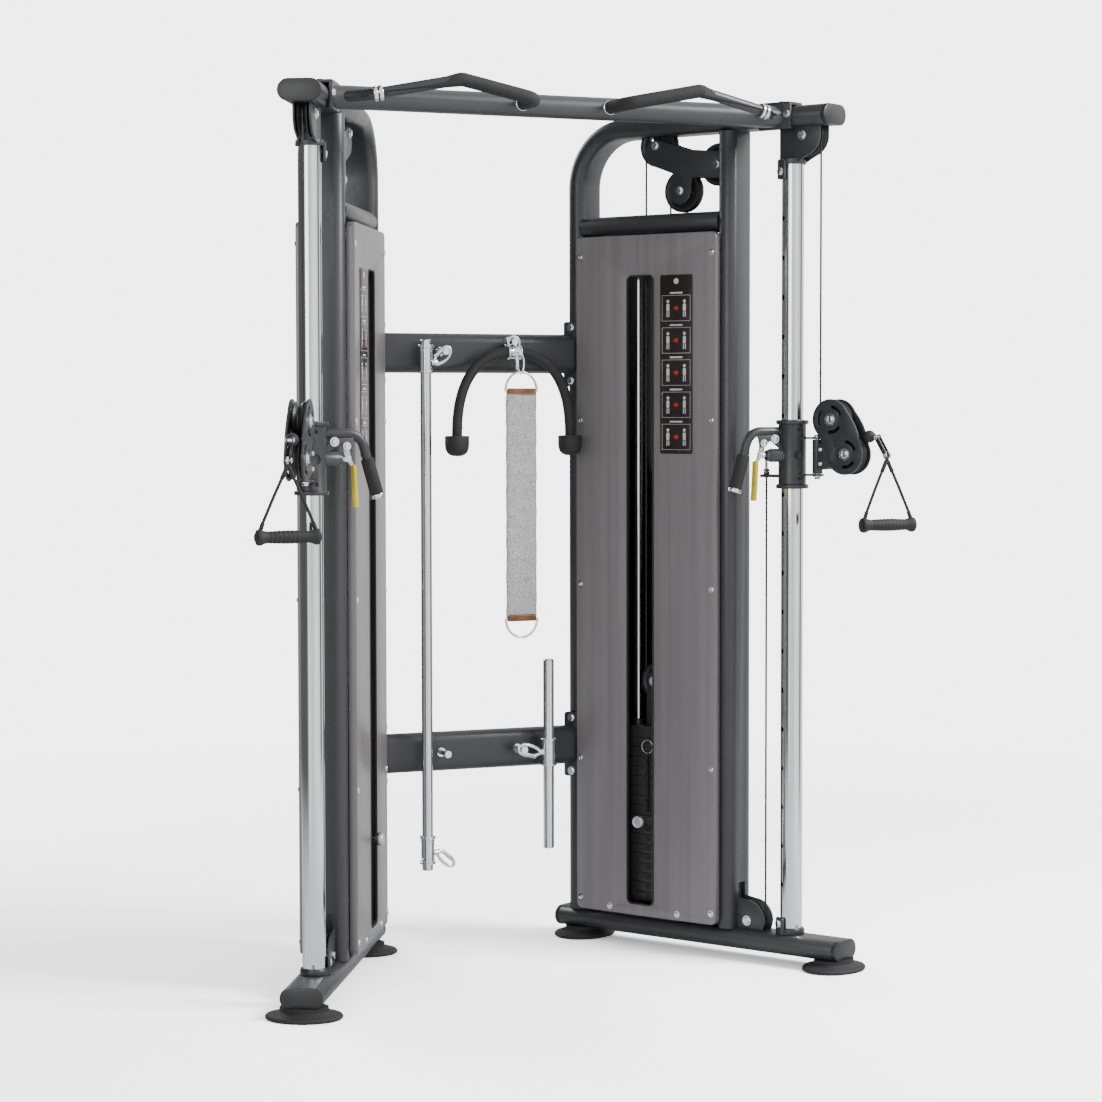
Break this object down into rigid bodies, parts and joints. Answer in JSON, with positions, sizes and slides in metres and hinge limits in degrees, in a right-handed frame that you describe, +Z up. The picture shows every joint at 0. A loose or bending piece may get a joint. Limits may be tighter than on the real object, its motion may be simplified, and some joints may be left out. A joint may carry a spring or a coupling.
{
  "type": "functional trainer",
  "caption": "Two splayed weight-stack towers joined by cross beams and a pull-up bar, with cable carriages that slide on chrome guide tubes and hang D-handles.",
  "frame": {"origin": "on the floor, at the middle of the machine's footprint", "axes": "+X across the machine, +Y to its back, +Z up"},
  "size_m": [1.6524, 0.8891, 2.1352],
  "materials": {
    "frame_coat": "satin charcoal powder coat",
    "chrome": "bright",
    "hardware": "satin",
    "shroud": "satin grey sheet metal",
    "stack": "black coat",
    "pulley_nylon": "moulded nylon",
    "cable_sheath": "nylon sheath on steel rope",
    "lever": "yellow dipped vinyl",
    "rubber": "textured grip",
    "rubber_bar": "coated bar with rubber bulbs",
    "strap": "light grey fleece with leather ends"
  },
  "bodies": {
    "frame": {"base_beam_left": "frame_coat", "main_upright_left": "frame_coat", "arch_tube_left": "frame_coat", "guide_tube_left": "chrome", "inner_shroud_left": "shroud", "outer_shroud_left": "shroud", "weight_stack_rest_left": "stack", "guide_rods_left": "chrome", "pulley_plates_left": "frame_coat", "cable_left": "cable_sheath", "base_beam_right": "frame_coat", "main_upright_right": "frame_coat", "arch_tube_right": "frame_coat", "guide_tube_right": "chrome", "inner_shroud_right": "shroud", "outer_shroud_right": "shroud", "weight_stack_rest_right": "stack", "guide_rods_right": "chrome", "pulley_plates_right": "frame_coat", "cable_right": "cable_sheath", "lower_cross_beam": "frame_coat", "upper_cross_beam": "frame_coat", "pull_up_bar": "frame_coat"},
    "carriage_left": {"carriage_left": "frame_coat"},
    "release_lever_left": {"release_lever_left": "lever"},
    "plunger_left": {"plunger_left": "chrome"},
    "swivel_left": {"swivel_bracket_left": "frame_coat"},
    "swivel_pulley_upper_left": {"swivel_pulley_upper_left": "pulley_nylon"},
    "swivel_pulley_lower_left": {"swivel_pulley_lower_left": "pulley_nylon"},
    "ball_stop_left": {"ball_stop_left": "hardware"},
    "handle_left": {"d_handle_left": "rubber"},
    "lifted_stack_left": {"weight_stack_lifted_left": "stack"},
    "selector_pin_left": {"selector_pin_left": "chrome"},
    "floating_pulley_left": {"floating_pulley_left": "pulley_nylon"},
    "rear_top_pulley_left": {"rear_top_pulley_left": "pulley_nylon"},
    "front_top_pulley_left": {"front_top_pulley_left": "pulley_nylon"},
    "upright_pulley_left": {"upright_pulley_left": "pulley_nylon"},
    "stack_pulley_left": {"stack_pulley_left": "pulley_nylon"},
    "front_base_pulley_left": {"front_base_pulley_left": "pulley_nylon"},
    "carriage_right": {"carriage_right": "frame_coat"},
    "release_lever_right": {"release_lever_right": "lever"},
    "plunger_right": {"plunger_right": "chrome"},
    "swivel_right": {"swivel_bracket_right": "frame_coat"},
    "swivel_pulley_upper_right": {"swivel_pulley_upper_right": "pulley_nylon"},
    "swivel_pulley_lower_right": {"swivel_pulley_lower_right": "pulley_nylon"},
    "ball_stop_right": {"ball_stop_right": "hardware"},
    "handle_right": {"d_handle_right": "rubber"},
    "lifted_stack_right": {"weight_stack_lifted_right": "stack"},
    "selector_pin_right": {"selector_pin_right": "chrome"},
    "floating_pulley_right": {"floating_pulley_right": "pulley_nylon"},
    "rear_top_pulley_right": {"rear_top_pulley_right": "pulley_nylon"},
    "front_top_pulley_right": {"front_top_pulley_right": "pulley_nylon"},
    "upright_pulley_right": {"upright_pulley_right": "pulley_nylon"},
    "stack_pulley_right": {"stack_pulley_right": "pulley_nylon"},
    "front_base_pulley_right": {"front_base_pulley_right": "pulley_nylon"},
    "long_bar": {"long_bar": "chrome"},
    "short_bar": {"short_bar": "chrome"},
    "triceps_bar": {"triceps_bar": "rubber_bar"},
    "pull_strap": {"pull_strap": "strap"}
  },
  "joints": [
    {"name": "carriage_slide_left", "type": "slide", "parent": "frame", "child": "carriage_left", "axis": [0, 0, 1], "range_m": [-1.0615, 0.579]},
    {"name": "lever_squeeze_left", "type": "hinge", "parent": "carriage_left", "child": "release_lever_left", "pos_m": [-0.53755, -0.18931, 1.2897], "axis": [0, -1, 0], "range_deg": [0, 13], "stiffness_Nm_per_rad": 3, "springref_deg": -8.59},
    {"name": "plunger_pull_left", "type": "slide", "parent": "carriage_left", "child": "plunger_left", "axis": [1, 0, 0], "range_m": [0, 0.0067]},
    {"name": "swivel_turn_left", "type": "hinge", "parent": "carriage_left", "child": "swivel_left", "pos_m": [-0.65612, -0.2527, 1.26], "axis": [0, 0, 1], "range_deg": [-75, 75]},
    {"name": "swivel_pulley_upper_spin_left", "type": "hinge", "parent": "swivel_left", "child": "swivel_pulley_upper_left", "pos_m": [-0.67986, -0.295, 1.3475], "axis": [0.8721, -0.4894, 0], "range_deg": [-2971.9, 1]},
    {"name": "swivel_pulley_lower_spin_left", "type": "hinge", "parent": "swivel_left", "child": "swivel_pulley_lower_left", "pos_m": [-0.69963, -0.33023, 1.2635], "axis": [0.8721, -0.4894, 0], "continuous": true},
    {"name": "handle_pull_left", "type": "slide", "parent": "swivel_left", "child": "ball_stop_left", "axis": [-0.4894, -0.8721, 0], "range_m": [0, 2.1]},
    {"name": "handle_swing_left", "type": "hinge", "parent": "ball_stop_left", "child": "handle_left", "pos_m": [-0.7517, -0.42302, 1.262], "axis": [0.8721, -0.4894, 0], "range_deg": [-70, 30]},
    {"name": "stack_lift_left", "type": "slide", "parent": "frame", "child": "lifted_stack_left", "axis": [0, 0, 1], "range_m": [0, 1.05], "deforming": ["cable_left"]},
    {"name": "selector_pin_pull_left", "type": "slide", "parent": "lifted_stack_left", "child": "selector_pin_left", "axis": [0.8721, -0.4894, 0], "range_m": [0, 0.06]},
    {"name": "floating_pulley_spin_left", "type": "hinge", "parent": "lifted_stack_left", "child": "floating_pulley_left", "pos_m": [-0.42367, 0.16153, 0.68], "axis": [0.8721, -0.4894, 0], "range_deg": [-1, 1592.5]},
    {"name": "rear_top_pulley_spin_left", "type": "hinge", "parent": "frame", "child": "rear_top_pulley_left", "pos_m": [-0.42548, 0.1583, 2.0385], "axis": [0.8721, -0.4894, 0], "range_deg": [-1, 2900.3]},
    {"name": "front_top_pulley_spin_left", "type": "hinge", "parent": "frame", "child": "front_top_pulley_left", "pos_m": [-0.63963, -0.22332, 2.0385], "axis": [0.8721, -0.4894, 0], "range_deg": [-1, 2900.3]},
    {"name": "upright_pulley_spin_left", "type": "hinge", "parent": "frame", "child": "upright_pulley_left", "pos_m": [-0.51631, -0.00355, 1.982], "axis": [0.8721, -0.4894, 0], "range_deg": [-1466.5, 800.4]},
    {"name": "stack_pulley_spin_left", "type": "hinge", "parent": "frame", "child": "stack_pulley_left", "pos_m": [-0.46247, 0.09237, 1.9215], "axis": [0.8721, -0.4894, 0], "range_deg": [-1466.5, 800.4]},
    {"name": "front_base_pulley_spin_left", "type": "hinge", "parent": "frame", "child": "front_base_pulley_left", "pos_m": [-0.56353, -0.08771, 0.0966], "axis": [0.8721, -0.4894, 0], "range_deg": [-800.4, 1466.5]},
    {"name": "carriage_slide_right", "type": "slide", "parent": "frame", "child": "carriage_right", "axis": [0, 0, 1], "range_m": [-1.0615, 0.579]},
    {"name": "lever_squeeze_right", "type": "hinge", "parent": "carriage_right", "child": "release_lever_right", "pos_m": [0.53755, -0.18931, 1.2897], "axis": [0, 1, 0], "range_deg": [0, 13], "stiffness_Nm_per_rad": 3, "springref_deg": -8.59},
    {"name": "plunger_pull_right", "type": "slide", "parent": "carriage_right", "child": "plunger_right", "axis": [-1, 0, 0], "range_m": [0, 0.0067]},
    {"name": "swivel_turn_right", "type": "hinge", "parent": "carriage_right", "child": "swivel_right", "pos_m": [0.65612, -0.2527, 1.26], "axis": [0, 0, 1], "range_deg": [-75, 75]},
    {"name": "swivel_pulley_upper_spin_right", "type": "hinge", "parent": "swivel_right", "child": "swivel_pulley_upper_right", "pos_m": [0.67986, -0.295, 1.3475], "axis": [0.8721, 0.4894, 0], "range_deg": [-2971.9, 1]},
    {"name": "swivel_pulley_lower_spin_right", "type": "hinge", "parent": "swivel_right", "child": "swivel_pulley_lower_right", "pos_m": [0.69963, -0.33023, 1.2635], "axis": [0.8721, 0.4894, 0], "continuous": true},
    {"name": "handle_pull_right", "type": "slide", "parent": "swivel_right", "child": "ball_stop_right", "axis": [0.4894, -0.8721, 0], "range_m": [0, 2.1]},
    {"name": "handle_swing_right", "type": "hinge", "parent": "ball_stop_right", "child": "handle_right", "pos_m": [0.7517, -0.42302, 1.262], "axis": [0.8721, 0.4894, 0], "range_deg": [-70, 30]},
    {"name": "stack_lift_right", "type": "slide", "parent": "frame", "child": "lifted_stack_right", "axis": [0, 0, 1], "range_m": [0, 1.05], "deforming": ["cable_right"]},
    {"name": "selector_pin_pull_right", "type": "slide", "parent": "lifted_stack_right", "child": "selector_pin_right", "axis": [-0.8721, -0.4894, 0], "range_m": [0, 0.06]},
    {"name": "floating_pulley_spin_right", "type": "hinge", "parent": "lifted_stack_right", "child": "floating_pulley_right", "pos_m": [0.42367, 0.16153, 0.68], "axis": [0.8721, 0.4894, 0], "range_deg": [-1, 1592.5]},
    {"name": "rear_top_pulley_spin_right", "type": "hinge", "parent": "frame", "child": "rear_top_pulley_right", "pos_m": [0.42548, 0.1583, 2.0385], "axis": [0.8721, 0.4894, 0], "range_deg": [-1, 2900.3]},
    {"name": "front_top_pulley_spin_right", "type": "hinge", "parent": "frame", "child": "front_top_pulley_right", "pos_m": [0.63963, -0.22332, 2.0385], "axis": [0.8721, 0.4894, 0], "range_deg": [-1, 2900.3]},
    {"name": "upright_pulley_spin_right", "type": "hinge", "parent": "frame", "child": "upright_pulley_right", "pos_m": [0.51631, -0.00355, 1.982], "axis": [0.8721, 0.4894, 0], "range_deg": [-1466.5, 800.4]},
    {"name": "stack_pulley_spin_right", "type": "hinge", "parent": "frame", "child": "stack_pulley_right", "pos_m": [0.46247, 0.09237, 1.9215], "axis": [0.8721, 0.4894, 0], "range_deg": [-1466.5, 800.4]},
    {"name": "front_base_pulley_spin_right", "type": "hinge", "parent": "frame", "child": "front_base_pulley_right", "pos_m": [0.56353, -0.08771, 0.0966], "axis": [0.8721, 0.4894, 0], "range_deg": [-800.4, 1466.5]},
    {"name": "long_bar_swing", "type": "hinge", "parent": "frame", "child": "long_bar", "pos_m": [-0.114, 0.2739, 1.519], "axis": [0, 1, 0], "range_deg": [0, 3]},
    {"name": "short_bar_swing", "type": "hinge", "parent": "frame", "child": "short_bar", "pos_m": [0.096, 0.2739, 0.506], "axis": [0, 1, 0], "range_deg": [-8, 0]},
    {"name": "triceps_bar_swing", "type": "hinge", "parent": "frame", "child": "triceps_bar", "pos_m": [0.072, 0.2739, 1.546], "axis": [0, 1, 0], "range_deg": [-3, 8]},
    {"name": "pull_strap_swing", "type": "hinge", "parent": "frame", "child": "pull_strap", "pos_m": [0.08, 0.2459, 1.515], "axis": [1, 0, 0], "range_deg": [-20, 8]}
  ],
  "couplings": [
    {"joint": "swivel_pulley_upper_spin_left", "follows": "stack_lift_left", "rad_per_m": -49.383},
    {"joint": "handle_pull_left", "follows": "stack_lift_left", "ratio": 2},
    {"joint": "floating_pulley_spin_left", "follows": "stack_lift_left", "rad_per_m": 26.455},
    {"joint": "rear_top_pulley_spin_left", "follows": "stack_lift_left", "rad_per_m": 48.193},
    {"joint": "front_top_pulley_spin_left", "follows": "stack_lift_left", "rad_per_m": 48.193},
    {"joint": "upright_pulley_spin_left", "follows": "carriage_slide_left", "rad_per_m": 24.096},
    {"joint": "stack_pulley_spin_left", "follows": "carriage_slide_left", "rad_per_m": 24.096},
    {"joint": "front_base_pulley_spin_left", "follows": "carriage_slide_left", "rad_per_m": -24.096},
    {"joint": "plunger_pull_left", "follows": "lever_squeeze_left", "m_per_rad": 0.029},
    {"joint": "swivel_pulley_upper_spin_right", "follows": "stack_lift_right", "rad_per_m": -49.383},
    {"joint": "handle_pull_right", "follows": "stack_lift_right", "ratio": 2},
    {"joint": "floating_pulley_spin_right", "follows": "stack_lift_right", "rad_per_m": 26.455},
    {"joint": "rear_top_pulley_spin_right", "follows": "stack_lift_right", "rad_per_m": 48.193},
    {"joint": "front_top_pulley_spin_right", "follows": "stack_lift_right", "rad_per_m": 48.193},
    {"joint": "upright_pulley_spin_right", "follows": "carriage_slide_right", "rad_per_m": 24.096},
    {"joint": "stack_pulley_spin_right", "follows": "carriage_slide_right", "rad_per_m": 24.096},
    {"joint": "front_base_pulley_spin_right", "follows": "carriage_slide_right", "rad_per_m": -24.096},
    {"joint": "plunger_pull_right", "follows": "lever_squeeze_right", "m_per_rad": 0.029}
  ]
}
